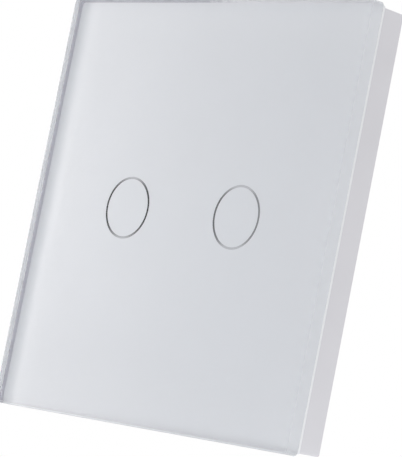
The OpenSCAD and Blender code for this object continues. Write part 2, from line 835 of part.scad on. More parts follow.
module wire_clamp(i) {
    color("Gray") translate([terminal_x[i - 1], 0, clamp_z]) difference() {
        block(0, 0, clamp_w, clamp_l, clamp_front, clamp_back);
        block(0, 0, wire_w, clamp_l + over, wire_front, clamp_back - clamp_top);
        rod(terminal_d + 2 * running, clamp_back - clamp_top - over, clamp_back + over);
    }
}

glass_panel();
back_print();
ring_mark(-1);  // ring_mark_left
ring_mark(1);  // ring_mark_right
panel_tape();
panel_frame();
panel_clips();
mounting_plate();
base_cover();
rear_housing();
housing_screws();
touch_board();
touch_chip();
chip_resistors();
led(-1);  // led_left
led(1);  // led_right
light_cap(-1);  // light_cap_left
light_cap(1);  // light_cap_right
touch_spring(-1);  // touch_spring_left
touch_spring(1);  // touch_spring_right
header_block();
header_pins();
power_board();
relay_case(-1);  // relay_case_left
relay_base(-1);  // relay_base_left
relay_coil(-1);  // relay_coil_left
relay_iron(-1);  // relay_iron_left
relay_contact(-1);  // relay_contact_left
relay_armature(-1);  // relay_armature_left
relay_case(1);  // relay_case_right
relay_base(1);  // relay_base_right
relay_coil(1);  // relay_coil_right
relay_iron(1);  // relay_iron_right
relay_contact(1);  // relay_contact_right
relay_armature(1);  // relay_armature_right
film_capacitor();
electrolytic_capacitor();
power_transformer();
varistor();
bridge_rectifier();
fuse_resistor();
terminal_bars();
terminal_screw(1);  // terminal_screw_1
terminal_screw(2);  // terminal_screw_2
terminal_screw(3);  // terminal_screw_3
wire_clamp(1);  // wire_clamp_1
wire_clamp(2);  // wire_clamp_2
wire_clamp(3);  // wire_clamp_3
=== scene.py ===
"""A two-way touch light switch: a printed glass front panel that pulls off a wall part with two relays."""

import math

import bmesh
import bpy
from mathutils import Matrix, Vector


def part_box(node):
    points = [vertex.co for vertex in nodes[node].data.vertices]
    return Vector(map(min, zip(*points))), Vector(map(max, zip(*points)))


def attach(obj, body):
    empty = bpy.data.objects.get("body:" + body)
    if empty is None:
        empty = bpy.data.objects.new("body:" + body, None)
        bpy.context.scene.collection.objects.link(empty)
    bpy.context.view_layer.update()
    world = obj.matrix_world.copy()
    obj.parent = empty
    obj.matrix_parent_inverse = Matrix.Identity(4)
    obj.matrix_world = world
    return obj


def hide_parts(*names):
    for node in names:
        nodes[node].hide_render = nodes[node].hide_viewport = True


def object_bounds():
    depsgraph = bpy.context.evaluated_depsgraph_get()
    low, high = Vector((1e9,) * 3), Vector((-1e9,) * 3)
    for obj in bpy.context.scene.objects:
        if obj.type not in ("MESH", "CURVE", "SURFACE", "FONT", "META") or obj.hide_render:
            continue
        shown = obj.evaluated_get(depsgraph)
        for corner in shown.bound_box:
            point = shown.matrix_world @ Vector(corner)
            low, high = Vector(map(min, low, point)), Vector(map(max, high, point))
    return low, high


# The switch as it was built. Every piece below takes its place from this frame, in metres, with X to the
# right, Y into the wall and Z up.
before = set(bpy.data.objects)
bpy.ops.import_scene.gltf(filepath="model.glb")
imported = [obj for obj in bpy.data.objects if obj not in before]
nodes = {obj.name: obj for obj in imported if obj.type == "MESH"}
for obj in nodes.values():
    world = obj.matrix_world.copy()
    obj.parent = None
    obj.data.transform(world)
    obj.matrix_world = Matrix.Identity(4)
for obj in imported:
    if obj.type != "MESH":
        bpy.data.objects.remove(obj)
cad_low, cad_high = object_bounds()
MM = 0.001

# The camera stands to the right of the switch and a little below its middle, about half a metre away. It is
# turned about its own line of sight, so that the switch leans in the picture.
camera_place = Vector((351.36, -323.97, -46.43)) * MM
camera_turn, camera_rise, camera_lean = (math.radians(a) for a in (47.438, 5.343, 11.176))
bpy.ops.object.camera_add(location=camera_place)
camera = bpy.context.object
camera.rotation_euler = (
    Matrix.Rotation(camera_turn, 3, "Z")
    @ Matrix.Rotation(math.pi / 2 + camera_rise, 3, "X")
    @ Matrix.Rotation(camera_lean, 3, "Z")
).to_euler()
camera.data.lens = 204.98
bpy.context.scene.camera = camera
bpy.context.scene.view_settings.view_transform = "Standard"


# The stage is a pale floor, well below the switch as under a fitting on a wall, in an even white room. Three
# small soft lamps shade it: one close on the left, one low at the front right, and one low on the right.
class Wire:
    """One socket of a node tree. Arithmetic on it adds Math nodes, and node() adds any other node."""

    def __init__(self, tree, socket=None):
        self.tree = tree
        self.socket = socket

    def node(self, kind, settings, sockets, output=0):
        made = self.tree.nodes.new("ShaderNode" + kind)
        for name, value in settings.items():
            if name == "stops":
                ramp = made.color_ramp.elements
                while len(ramp) < len(value):
                    ramp.new(1)
                for stop, (place, colour) in zip(ramp, value):
                    stop.position, stop.color = place, (*colour, 1)
            else:
                setattr(made, name, value)
        for name, value in sockets.items():
            if isinstance(value, Wire):
                self.tree.links.new(value.socket, made.inputs[name])
            else:
                made.inputs[name].default_value = value
        return Wire(self.tree, made.outputs[output])

    def other(self, output):
        return Wire(self.tree, self.socket.node.outputs[output])

    def into(self, shader, name):
        self.tree.links.new(self.socket, shader.inputs[name])

    def axis(self, name):
        return self.node("SeparateXYZ", {}, {"Vector": self}, name)

    def math(self, operation, first, second=0):
        return self.node("Math", {"operation": operation}, {0: first, 1: second})

    def __add__(self, other):
        return self.math("ADD", self, other)

    __radd__ = __add__

    def __sub__(self, other):
        return self.math("SUBTRACT", self, other)

    def __rsub__(self, other):
        return self.math("SUBTRACT", other, self)

    def __mul__(self, other):
        return self.math("MULTIPLY", self, other)

    __rmul__ = __mul__

    def __gt__(self, other):
        return self.math("GREATER_THAN", self, other)

    def __lt__(self, other):
        return self.math("LESS_THAN", self, other)

    def __or__(self, other):
        return self.math("MAXIMUM", self, other)

    __ror__ = __or__

    def __abs__(self):
        return self.math("ABSOLUTE", self)


floor_drop = 120 * MM
floor_size = 2.4
room_light = 0.835
white = (1, 1, 1, 1)

room = bpy.data.worlds.new("white_room")
room.use_nodes = True
rays = Wire(room.node_tree).node("LightPath", {}, {}, "Is Camera Ray")
seen = rays | rays.other("Is Glossy Ray") | rays.other("Is Transmission Ray")
lit = rays.node("Background", {}, {"Color": white, "Strength": room_light})
shown = rays.node("Background", {}, {"Color": white, "Strength": 1})
mixed = rays.node("MixShader", {}, {0: seen, 1: lit, 2: shown})
mixed.into(room.node_tree.nodes["World Output"], "Surface")
bpy.context.scene.world = room

bpy.ops.mesh.primitive_plane_add(size=floor_size, location=(0, 0, cad_low.z - floor_drop))
floor = bpy.context.object
floor.name = "floor"
floor_paint = bpy.data.materials.new("pale_floor")
floor_paint.use_nodes = True
floor_tree = floor_paint.node_tree
floor_shader = floor_tree.nodes["Principled BSDF"]
floor_shader.inputs["Base Color"].default_value = (0.92, 0.92, 0.92, 1)
floor_shader.inputs["Roughness"].default_value = 0.9
rays = Wire(floor_tree).node("LightPath", {}, {}, "Is Glossy Ray")
mirrored = rays | rays.other("Is Transmission Ray")
painted = Wire(floor_tree, floor_shader.outputs["BSDF"])
white_glow = rays.node("Emission", {}, {"Color": white, "Strength": 1})
mixed = rays.node("MixShader", {}, {0: mirrored, 1: painted, 2: white_glow})
mixed.into(floor_tree.nodes["Material Output"], "Surface")
floor.data.materials.append(floor_paint)

lamps = {
    "left_lamp": ((-105, -80, 0), 26, 0.024, (1, 0.95, 0.9)),
    "lower_lamp": ((90, -220, -110), 60, 0.026, (0.86, 0.93, 1)),
    "side_lamp": ((85, -12, -95), 30, 0.01, (0.95, 0.97, 1)),
}
for name, (at, size, watts, colour) in lamps.items():
    bpy.ops.object.light_add(type="AREA", location=Vector(at) * MM)
    lamp = bpy.context.object
    lamp.name = name
    lamp.rotation_euler = (-lamp.location).to_track_quat("-Z", "Y").to_euler()
    lamp.data.size = size * MM
    lamp.data.energy = watts
    lamp.data.color = colour
    lamp.visible_camera = lamp.visible_glossy = False


# The front is a square of clear toughened glass with slightly round corners and finely ground sides. Its
# front edge has a polished arris. Its back edge is cut to a seam, coloured grey as painted shade: the
# shadowed gap behind the glass, seen through the seam. The painted shade fades out to the right along
# the top and is palest below.
def alone(piece):
    """Closes what is being edited, and selects one piece and nothing else."""
    if bpy.context.mode != "OBJECT":
        bpy.ops.object.mode_set(mode="OBJECT")
    bpy.ops.object.select_all(action="DESELECT")
    piece.select_set(True)
    bpy.context.view_layer.objects.active = piece


def placed(name):
    """Names the primitive just added, and puts its place and size in its mesh."""
    piece = bpy.context.object
    piece.name = piece.data.name = name
    alone(piece)
    bpy.ops.object.transform_apply(location=True, rotation=True, scale=True)
    return piece


def block(name, low, high):
    """A box between two corners."""
    low, high = Vector(low), Vector(high)
    bpy.ops.mesh.primitive_cube_add(size=1, location=(low + high) / 2)
    bpy.context.object.scale = high - low
    return placed(name)


def edit(piece, kind, wanted):
    """Opens a piece for editing, with only the wanted vertices, edges or faces selected."""
    alone(piece)
    bpy.ops.object.mode_set(mode="EDIT")
    bpy.ops.mesh.select_mode(type=kind)
    bpy.ops.mesh.select_all(action="DESELECT")
    mesh = bmesh.from_edit_mesh(piece.data)
    for item in {"VERT": mesh.verts, "EDGE": mesh.edges, "FACE": mesh.faces}[kind]:
        item.select_set(wanted(item))
    mesh.select_flush_mode()
    bmesh.update_edit_mesh(piece.data)


def done(smooth_angle=30):
    """Closes the piece that is being edited, smooth where its faces meet at less than the angle."""
    bpy.ops.object.mode_set(mode="OBJECT")
    bpy.ops.object.shade_smooth_by_angle(angle=math.radians(smooth_angle))


def along(edge, axis):
    """True for an edge that runs along X (0), Y (1) or Z (2)."""
    run = edge.verts[1].co - edge.verts[0].co
    return abs(run[axis]) > 0.99 * run.length


def bevelled(piece, wanted, width, segments):
    """Bevels those edges of a piece that are wanted, and leaves it open for editing."""
    edit(piece, "EDGE", wanted)
    bpy.ops.mesh.bevel(offset=width, segments=segments, affect="EDGES")


def rimmed(piece, wanted, width, segments):
    """Bevels the rim of those faces of a piece that are wanted, and leaves it open for editing."""
    edit(piece, "FACE", wanted)
    bpy.ops.mesh.region_to_loop()
    bpy.ops.mesh.bevel(offset=width, segments=segments, affect="EDGES")


def drawn_out(*shift):
    """Extrudes what is selected."""
    bpy.ops.mesh.extrude_region_move(TRANSFORM_OT_translate={"value": shift})


def surface(name, plain):
    """A new material, its shader with plain values set, and a wire with the piece's own coordinates."""
    made = bpy.data.materials.new(name)
    made.use_nodes = True
    shader = made.node_tree.nodes["Principled BSDF"]
    for socket, value in plain.items():
        shader.inputs[socket].default_value = value
    return made, shader, Wire(made.node_tree).node("TexCoord", {}, {}, "Object")


def mottle(place, scale, detail):
    """Soft spots all over a piece, from 0 to 1, with about so many to a metre."""
    return place.node("TexNoise", {}, {"Vector": place, "Scale": scale, "Detail": detail}, "Fac")


def tint(shader, share, stops):
    """Colours a surface by a share from 0 to 1."""
    share.node("ValToRGB", {"stops": stops}, {0: share}).into(shader, "Base Color")


def settle(piece, body, slot, finishes, *replaced):
    """Gives a piece its finishes, its body and the nodes that it stands for."""
    for finish in finishes:
        piece.data.materials.append(finish)
    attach(piece, body)
    if replaced:
        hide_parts(*replaced)


glass_low, glass_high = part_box("glass_panel")
glass_corner = 0.8 * MM
arris = 0.3 * MM
seam_deep, seam_wide = 0.9 * MM, 0.42 * MM
shell_gap, shell_thick = 0.01 * MM, 0.03 * MM
glass_index = 1.5


def glazed(name, rough):
    """Clear glass, polished or ground."""
    made, shader, place = surface(
        name, {"Base Color": (0.994, 0.996, 1, 1), "Transmission Weight": 1, "IOR": glass_index}
    )
    (mottle(place, scale=60, detail=3) * 0.012 + rough).into(shader, "Roughness")
    return made


def on_seam(face):
    """True for a face of the sloping seam."""
    return 0.2 < face.normal.y < 0.9


ground = glazed("ground_edge", rough=0.34)
clear = glazed("clear_glass", rough=0)
clear_nodes = clear.node_tree.nodes
solid = Wire(clear.node_tree, clear_nodes["Principled BSDF"].outputs["BSDF"])
lamp_way = solid.node("LightPath", {}, {}, "Is Shadow Ray")
passed = solid.node("BsdfTransparent", {}, {})
lit_through = solid.node("MixShader", {}, {0: lamp_way, 1: solid, 2: passed})
lit_through.into(clear_nodes["Material Output"], "Surface")

# The seam's grey is painted shade. It is paler to the right along the top and palest along the bottom.
seam_painted_shade, seam_shade_shader, place = surface("seam_painted_shade", {"Specular IOR Level": 0, "Roughness": 0.7})
height = place.axis("Z")
edge_start = glass_high.z - 1.2 * seam_wide
shade_fade_on_top = height.other("X") * (1.2 / glass_high.x) + 0.36
shade_fade_below = 0.7
shade_fade = mottle(place, scale=700, detail=2) * 0.4 + 0.3
shade_fade = shade_fade + (height > edge_start) * shade_fade_on_top + (height < -edge_start) * shade_fade_below
tint(seam_shade_shader, shade_fade, [(0.3, (0.573, 0.57, 0.63)), (0.7, (0.593, 0.59, 0.65)), (1, (0.883, 0.88, 0.91))])

room_for_shell = Vector((shell_gap + shell_thick, 0, shell_gap + shell_thick))
seam_front = Vector((glass_high.x, glass_high.y - seam_deep, glass_high.z))
glass = block("glass_front", glass_low + room_for_shell, seam_front - room_for_shell)
bevelled(glass, lambda edge: along(edge, 1), width=glass_corner, segments=8)
edit(glass, "FACE", lambda face: face.normal.y > 0.9)
drawn_out(0, seam_deep, 0)
narrow = 1 - 2 * seam_wide / (glass_high.x - glass_low.x)
bpy.ops.transform.resize(value=(narrow, 1, narrow), center_override=(0, 0, 0))
rimmed(glass, lambda face: face.normal.y < -0.9, width=arris, segments=1)
done(20)
settle(glass, "front_panel", "clear_glass", (clear, seam_painted_shade, ground), "glass_panel")
for face in glass.data.polygons:
    if on_seam(face):
        face.material_index = 1
    elif abs(face.normal.y) < 0.2:
        face.material_index = 2


# A thin pale shell over the ground seam on the outside is a painted highlight. It makes the bright line
# where the side of the glass ends.
def copied(name, source):
    """A new piece with a bare copy of another's mesh."""
    piece = bpy.data.objects.new(name, source.data.copy())
    bpy.context.collection.objects.link(piece)
    piece.data.name = name
    piece.data.materials.clear()
    alone(piece)
    return piece


def change(piece, kind, settings):
    """Adds a modifier to a piece and applies it."""
    alone(piece)
    modifier = piece.modifiers.new(kind, kind)
    for name, value in settings.items():
        setattr(modifier, name, value)
    bpy.ops.object.modifier_apply(modifier=modifier.name)


# The shell's pale colour is a painted highlight along the glass's back edge.
painted_highlight_coat, highlight_coat_shader, place = surface("seam_painted_highlight", {"Roughness": 0.4})
brushed = mottle(place, scale=900, detail=3)
tint(highlight_coat_shader, brushed, [(0.3, (0.85, 0.86, 0.88)), (0.7, (0.89, 0.9, 0.92))])

highlight_shell = copied("seam_highlight_shell", glass)
edit(highlight_shell, "FACE", lambda face: not on_seam(face))
bpy.ops.mesh.delete(type="FACE")
bpy.ops.mesh.select_all(action="SELECT")
bpy.ops.transform.shrink_fatten(value=shell_gap)
done(20)
change(highlight_shell, "SOLIDIFY", {"thickness": shell_thick, "offset": 1})
settle(highlight_shell, "front_panel", "white_print", (painted_highlight_coat,))

# The print is a pale sheet of ink fired onto the back of the glass, with no air between them. It ends at the
# seam.
print_low, print_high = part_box("back_print")
ink_bite = Vector((0, 0.02 * MM, 0))

ink, ink_shader, place = surface("white_print", {"Specular IOR Level": 0, "Roughness": 0.6})
cloud = mottle(place, scale=45, detail=4)
tint(ink_shader, cloud, [(0.3, (0.862, 0.881, 0.917)), (0.7, (0.87, 0.889, 0.925))])

sheet = block("print_sheet", print_low - ink_bite + room_for_shell, print_high - room_for_shell)
settle(sheet, "front_panel", "white_print", (ink,), "back_print")
bevelled(sheet, lambda edge: along(edge, 1), width=glass_corner - seam_wide, segments=6)
done()


# Each touch area is marked by a thin grey ring, printed on the glass before the pale sheet. The ink is
# thinner at the top and bottom of a ring, and towards the right.
def outward():
    """Turns every face of the piece that is being edited outwards."""
    bpy.ops.mesh.select_all(action="SELECT")
    bpy.ops.mesh.normals_make_consistent(inside=False)


to_room = (math.pi / 2, 0, 0)
both = ("left", "right")
ring_radius, ring_line, ring_bite = 5.7 * MM, 0.42 * MM, 0.04 * MM
right_low, right_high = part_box("ring_mark_right")
right_x = (right_low.x + right_high.x) / 2

ring_ink, ring_shader, place = surface("ring_ink", {"Specular IOR Level": 0, "Roughness": 0.6})
across = place.axis("X")
pole = place.math("POWER", abs(across.other("Z")) * (1 / ring_radius), 5)
faint = mottle(place, scale=3000, detail=2) * 0.1 + pole * 0.9 + (across | 0) * (0.28 / right_x)
tint(ring_shader, faint, [(0.05, (0.02, 0.021, 0.026)), (1, (0.62, 0.63, 0.665))])

for side in both:
    low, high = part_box("ring_mark_" + side)
    middle = (low + high) / 2
    inner = ring_radius - ring_line / 2
    grow = 1 + ring_line / inner
    bpy.ops.object.select_all(action="DESELECT")
    bpy.ops.mesh.primitive_circle_add(
        vertices=128, radius=inner, location=(middle.x, low.y - ring_bite, middle.z), rotation=to_room
    )
    ring = placed("ring_line_" + side)
    settle(ring, "front_panel", "ring_ink", (ring_ink,), "ring_mark_" + side)
    edit(ring, "EDGE", lambda edge: True)
    bpy.ops.mesh.extrude_edges_move()
    bpy.ops.transform.resize(value=(grow, 1, grow), center_override=(middle.x, low.y, middle.z))
    bpy.ops.mesh.select_all(action="SELECT")
    drawn_out(0, high.y - low.y, 0)
    outward()
    done()


# White foam tape, sticky on both faces and cut as one square ring, holds the printed glass to the frame. It
# lies inside the frame's rim, so that only its inner edge shows, and only from behind.
def twin(name, node):
    """A new piece with the shape of a node, its loose triangles merged into whole faces."""
    piece = copied(name, nodes[node])
    bpy.ops.mesh.customdata_custom_splitnormals_clear()
    edit(piece, "VERT", lambda vert: True)
    bpy.ops.mesh.remove_doubles(threshold=0.001 * MM)
    bpy.ops.mesh.dissolve_limited(angle_limit=math.radians(1))
    done()
    return piece


def soften(piece, width, segments=2, sharp=35):
    """Rounds every edge of a piece that is sharper than an angle."""
    change(piece, "BEVEL", {
        "width": width, "segments": segments, "limit_method": "ANGLE", "angle_limit": math.radians(sharp)
    })
    bpy.ops.object.shade_smooth_by_angle(angle=math.radians(sharp))


def relief(shader, height, strength, depth):
    """Raises a surface by a height from 0 to 1."""
    bump = {"Strength": strength, "Distance": depth, "Height": height}
    height.node("Bump", {}, bump).into(shader, "Normal")


def dressed(name, node, body, slot, finish, width, segments=2):
    """A finished piece with the shape of a node, its edges rounded."""
    piece = twin(name, node)
    soften(piece, width, segments)
    settle(piece, body, slot, (finish,), node)


foam, foam_shader, place = surface("tape_foam", {"Roughness": 0.85})
cells = place.node("TexVoronoi", {}, {"Vector": place, "Scale": 4000}, "Distance")
tint(foam_shader, cells, [(0.1, (0.72, 0.72, 0.7)), (0.6, (0.84, 0.84, 0.82))])
relief(foam_shader, cells, strength=0.5, depth=0.03 * MM)
dressed("tape_ring", "panel_tape", "front_panel", "tape", foam, width=0.06 * MM)


# The frame is one moulding of white satin plastic. Its flange takes the tape, its rim hides the tape's edge,
# its wall closes the gap to the wall of the room, and the notch below is for prying the panel off.
def moulded(name, colour, rough, grain=2600, depth=0.012 * MM):
    """Moulded plastic: a slight drift of its colour, and the fine grain of the mould."""
    made, shader, place = surface(name, {})
    dark, pale = [0.975 * part for part in colour], [1.02 * part for part in colour]
    tint(shader, mottle(place, scale=70, detail=4), [(0.3, dark), (0.7, pale)])
    pits = mottle(place, scale=grain, detail=2)
    (pits * 0.16 + (rough - 0.08)).into(shader, "Roughness")
    relief(shader, pits, strength=0.3, depth=depth)
    return made


frame_white = moulded("frame_plastic", (0.722, 0.715, 0.75), rough=0.42)
dressed(
    "frame_moulding", "panel_frame", "front_panel", "frame_plastic", frame_white, width=0.1 * MM, segments=3
)


# Four clips hold the panel to the wall part. Each is a leaf of bright spring steel, folded back on itself to
# a nose, with its leg fixed to the inside of the frame.
def metal(name, colour, rough, drawn=(1, 1, 1)):
    """Bare or plated metal, with fine marks that run the way it was drawn or rolled."""
    made, shader, place = surface(name, {"Metallic": 1})
    rolled = place.node("Mapping", {}, {"Vector": place, "Scale": drawn})
    marks = mottle(rolled, scale=900, detail=5)
    tint(shader, marks, [(0.3, [0.86 * part for part in colour]), (0.7, colour)])
    (marks * 0.24 + (rough - 0.12)).into(shader, "Roughness")
    relief(shader, marks, strength=0.12, depth=0.02 * MM)
    return made


bright_steel = metal("spring_steel", (0.66, 0.66, 0.65), rough=0.28, drawn=(1, 0.05, 1))
clips = twin("clip_leaves", "panel_clips")
bevelled(clips, lambda edge: along(edge, 2), width=0.11 * MM, segments=4)
done()
soften(clips, width=0.04 * MM, sharp=50)
settle(clips, "front_panel", "spring_steel", (bright_steel,), "panel_clips")

# The mounting plate is stamped from zinc-plated steel sheet. It seats on the wall, and two screws of the
# wall box hold it by its slots.
zinc, zinc_shader, place = surface("plate_zinc", {"Metallic": 1})
crystals = place.node("TexVoronoi", {}, {"Vector": place, "Scale": 420}, "Color")
spangle = place.node("SeparateColor", {}, {"Color": crystals})
mist = mottle(place, scale=160, detail=6)
cloudy = spangle * 0.3 + mist * 0.7
tint(zinc_shader, cloudy, [(0.3, (0.52, 0.54, 0.56)), (0.7, (0.7, 0.72, 0.74))])
(cloudy * 0.25 + 0.25).into(zinc_shader, "Roughness")
relief(zinc_shader, mist, strength=0.15, depth=0.02 * MM)
dressed("plate_sheet", "mounting_plate", "wall_part", "plate_steel", zinc, width=0.15 * MM)

# The base cover is a shallow white moulding behind the panel. It carries the two light wells, windows over
# the fixing slots and notches for the clips, and its four stakes are melted into the plate.
cover_white = moulded("cover_plastic", (0.82, 0.82, 0.81), rough=0.5)
dressed(
    "cover_moulding", "base_cover", "wall_part", "cover_plastic", cover_white, width=0.22 * MM, segments=3
)


# The rear housing is the box that goes into the wall. It is moulded of flame-proof plastic, with a screw
# boss in each corner, a window for each wire and a sunk seat for each terminal screw. Its back has a shallow
# bare field, with the mark of the mould's gate in the middle.
def rod(name, radius, start, end, sides=48):
    """A round rod between two points."""
    start, end = Vector(start), Vector(end)
    bpy.ops.mesh.primitive_cylinder_add(
        vertices=sides, radius=radius, depth=(end - start).length, location=(start + end) / 2,
        rotation=(end - start).to_track_quat("Z", "Y").to_euler()
    )
    return placed(name)


def cut(piece, tool):
    """Takes the shape of a tool out of a piece, and clears the tool away."""
    change(piece, "BOOLEAN", {"operation": "DIFFERENCE", "object": tool, "solver": "EXACT"})
    bpy.data.objects.remove(tool)


housing_low, housing_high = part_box("rear_housing")
seats_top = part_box("terminal_screw_1")[1].z
field_edge, field_deep, field_corner, field_fillet = 5 * MM, 0.3 * MM, 2 * MM, 0.15 * MM
gate_radius, gate_deep = 1.5 * MM, 0.2 * MM
housing_grey = moulded("housing_plastic", (0.76, 0.76, 0.745), rough=0.55, grain=2000, depth=0.02 * MM)

housing = twin("housing_box", "rear_housing")
soften(housing, width=0.25 * MM, segments=3)
field = block(
    "field",
    (housing_low.x + field_edge, housing_high.y - field_deep, seats_top + field_edge),
    (housing_high.x - field_edge, housing_high.y + MM, housing_high.z - field_edge),
)
bevelled(field, lambda edge: along(edge, 1), width=field_corner, segments=6)
rimmed(field, lambda face: face.normal.y < -0.9, width=field_fillet, segments=3)
done()
cut(housing, field)
gate_at = Vector((0, housing_high.y, (seats_top + housing_high.z) / 2))
gate_reach = Vector((0, field_deep + gate_deep, 0))
cut(housing, rod("gate", gate_radius, gate_at - gate_reach, gate_at + gate_reach))
bpy.ops.object.shade_smooth_by_angle(angle=math.radians(35))
settle(housing, "wall_part", "housing_plastic", (housing_grey,), "rear_housing")


# Four self-tapping screws go through the cover and the touch board into the housing's bosses. They are zinc
# plated, with a low round head and a cross for the driver.
def joined(pieces):
    """Makes one piece of several."""
    alone(pieces[0])
    for piece in pieces[1:]:
        piece.select_set(True)
    bpy.ops.object.join()
    return pieces[0]


def again(piece, shift):
    """A copy of a piece with its own mesh, a shift away."""
    alone(piece)
    bpy.ops.object.duplicate()
    bpy.context.object.location = shift
    return placed(piece.name)


def thread(name, crest, root, pitch, start, end, middle):
    """A threaded rod along Y. Its section has one high side, and is drawn out with a twist."""
    turns = (end - start) / pitch
    steps = round(24 * turns)
    bpy.ops.mesh.primitive_circle_add(vertices=24, radius=crest, fill_type="NGON")
    piece = bpy.context.object
    for point in piece.data.vertices:
        swing = abs(math.atan2(point.co.y, point.co.x)) / math.pi
        point.co *= 1 - (1 - root / crest) * min(1, 1.4 * swing)
    change(piece, "SCREW", {
        "angle": math.tau * turns, "screw_offset": end - start, "steps": steps, "render_steps": steps,
        "use_merge_vertices": True, "merge_threshold": 1e-7
    })
    piece.rotation_euler = (-math.pi / 2, 0, 0)
    piece.location = (middle.x, start, middle.z)
    piece = placed(name)
    edit(piece, "EDGE", lambda edge: edge.is_boundary)
    bpy.ops.mesh.edge_face_add()
    outward()
    done()
    return piece


def crossed(piece, at, reach, wide, deep):
    """Cuts a cross into a face of a piece, about a point on it."""
    for x, z in ((reach, wide), (wide, reach)):
        half = Vector((x / 2, deep, z / 2))
        cut(piece, block("cross", at - half, at + half))


screws_low, screws_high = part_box("housing_screws")
head_radius, head_height, head_dome = 2 * MM, 1 * MM, 0.45 * MM
shank_radius, shank_root, shank_pitch, shank_bite = 1.1 * MM, 0.85 * MM, 0.8 * MM, 0.3 * MM
cross_long, cross_wide, cross_deep = 2.4 * MM, 0.6 * MM, 0.6 * MM
plated = metal("screw_zinc", (0.68, 0.68, 0.65), rough=0.3)

first = screws_low + Vector((head_radius, 0, head_radius))
head_back = screws_low.y + head_height
head = rod("housing_screw_set", head_radius, first, (first.x, head_back, first.z))
head_half = head_back - head_height / 2
bevelled(head, lambda edge: all(vert.co.y < head_half for vert in edge.verts), width=head_dome, segments=5)
done()
crossed(head, first, cross_long, cross_wide, cross_deep)
soften(head, width=0.05 * MM)
shank = thread("shank", shank_radius, shank_root, shank_pitch, head_back - shank_bite, screws_high.y, first)
head = joined([head, shank])
apart = screws_high.x - screws_low.x - 2 * head_radius
head = joined([head] + [again(head, (x, 0, z)) for x, z in ((apart, 0), (0, apart), (apart, apart))])
settle(head, "wall_part", "screw_steel", (plated,), "housing_screws")


# The touch board is a square of glass-fibre sheet under green solder mask. It is clamped between the cover
# and the housing's bosses, and it carries the chip, the lights and the touch springs.
def circuit(name, bare, covered):
    """Solder mask over copper: tracks across in some fields, upright in others, or a whole sheet."""
    made, shader, place = surface(name, {"Roughness": 0.34, "Coat Weight": 0.25, "Coat Roughness": 0.2})
    track_pitch = 1.1 * MM
    gap = track_pitch * 0.27
    across = place.math("PINGPONG", place.axis("Z"), track_pitch / 2) > gap
    upright = place.math("PINGPONG", place.axis("X"), track_pitch / 2) > gap
    field = mottle(place, scale=150, detail=0) > 0.5
    poured = mottle(place, scale=62, detail=0) > 0.5
    track = field * across + (1 - field) * upright | poured
    tint(shader, track, [(0.2, bare), (0.8, covered)])
    relief(shader, track, strength=0.4, depth=0.03 * MM)
    return made


def lathe(name, profile, middle, turn=(0, 0, 0), sides=32):
    """A turned piece. Its profile gives radius and height about Z, before the piece is turned and placed."""
    bpy.ops.mesh.primitive_circle_add(vertices=len(profile))
    piece = bpy.context.object
    for point, (radius, height) in zip(piece.data.vertices, profile):
        point.co = (radius, 0, height)
    edit(piece, "VERT", lambda vert: True)
    bpy.ops.mesh.spin(steps=sides, angle=math.tau, center=(0, 0, 0), axis=(0, 0, 1), use_auto_merge=True)
    bpy.ops.mesh.select_all(action="SELECT")
    bpy.ops.mesh.remove_doubles(threshold=0.0001 * MM)
    bpy.ops.mesh.dissolve_degenerate(threshold=0.0001 * MM)
    bpy.ops.mesh.select_all(action="SELECT")
    bpy.ops.mesh.delete_loose(use_verts=True, use_edges=True, use_faces=False)
    outward()
    done(40)
    piece.rotation_euler = turn
    piece.location = middle
    return placed(name)


solder = metal("solder_tin", (0.68, 0.68, 0.67), rough=0.22)
fillet = [(0, 0), (0.72, 0), (0.5, 0.12), (0.36, 0.34), (0.28, 0.62), (0.18, 0.7), (0, 0.7)]
fillet = [(radius * MM, height * MM) for radius, height in fillet]


def paint(piece, finish):
    """Gives a piece its first finish, before other parts join it."""
    piece.data.materials.append(finish)


def fitted(piece, part, finish):
    """Gives a part its finish, and makes it one with a piece."""
    paint(part, finish)
    return joined([piece, part])


def soldered(board, face, places):
    """Adds the solder round the wires that come through a board's face towards the room."""
    for x, z in places:
        board = fitted(board, lathe("joint", fillet, (x, face, z), to_room, sides=20), solder)
    return board


green = circuit("board_mask", bare=(0.012, 0.12, 0.045), covered=(0.03, 0.2, 0.08))
touch_board = twin("touch_board_sheet", "touch_board")
soften(touch_board, width=0.05 * MM)
paint(touch_board, green)
header_low, header_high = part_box("header_block")
pins = 5
pin_pitch = (header_high.x - header_low.x) / pins
pin_z = (header_low.z + header_high.z) / 2
pin_row = [(header_low.x + (i + 0.5) * pin_pitch, pin_z) for i in range(pins)]
spring_radius = 5 * MM
spring_x = {}
for side in both:
    low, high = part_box("light_cap_" + side)
    spring_x[side] = (low.x + high.x) / 2
spring_feet = [(x + spring_radius, 0) for x in spring_x.values()]
touch_board = soldered(touch_board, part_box("touch_board")[0].y, pin_row + spring_feet)
settle(touch_board, "wall_part", "board", (), "touch_board")

# The touch chip is a black moulded body with seven bent legs on either side. Its legs are soldered to the
# middle of the touch board, and a dimple marks its first leg.
chip_low, chip_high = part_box("touch_chip")
leg_reach, leg_wide, leg_thick, leg_pitch, legs = 1 * MM, 0.4 * MM, 0.2 * MM, 1.27 * MM, 7
chip_taper, knee_share = (0.93, 1, 0.97), 0.65
dimple_radius, dimple_deep, dimple_in = 0.4 * MM, 0.1 * MM, 0.9 * MM
chip_black = moulded("chip_black", (0.028, 0.028, 0.032), rough=0.55, grain=5000, depth=0.008 * MM)
tinned = metal("leg_tin", (0.62, 0.61, 0.58), rough=0.35)

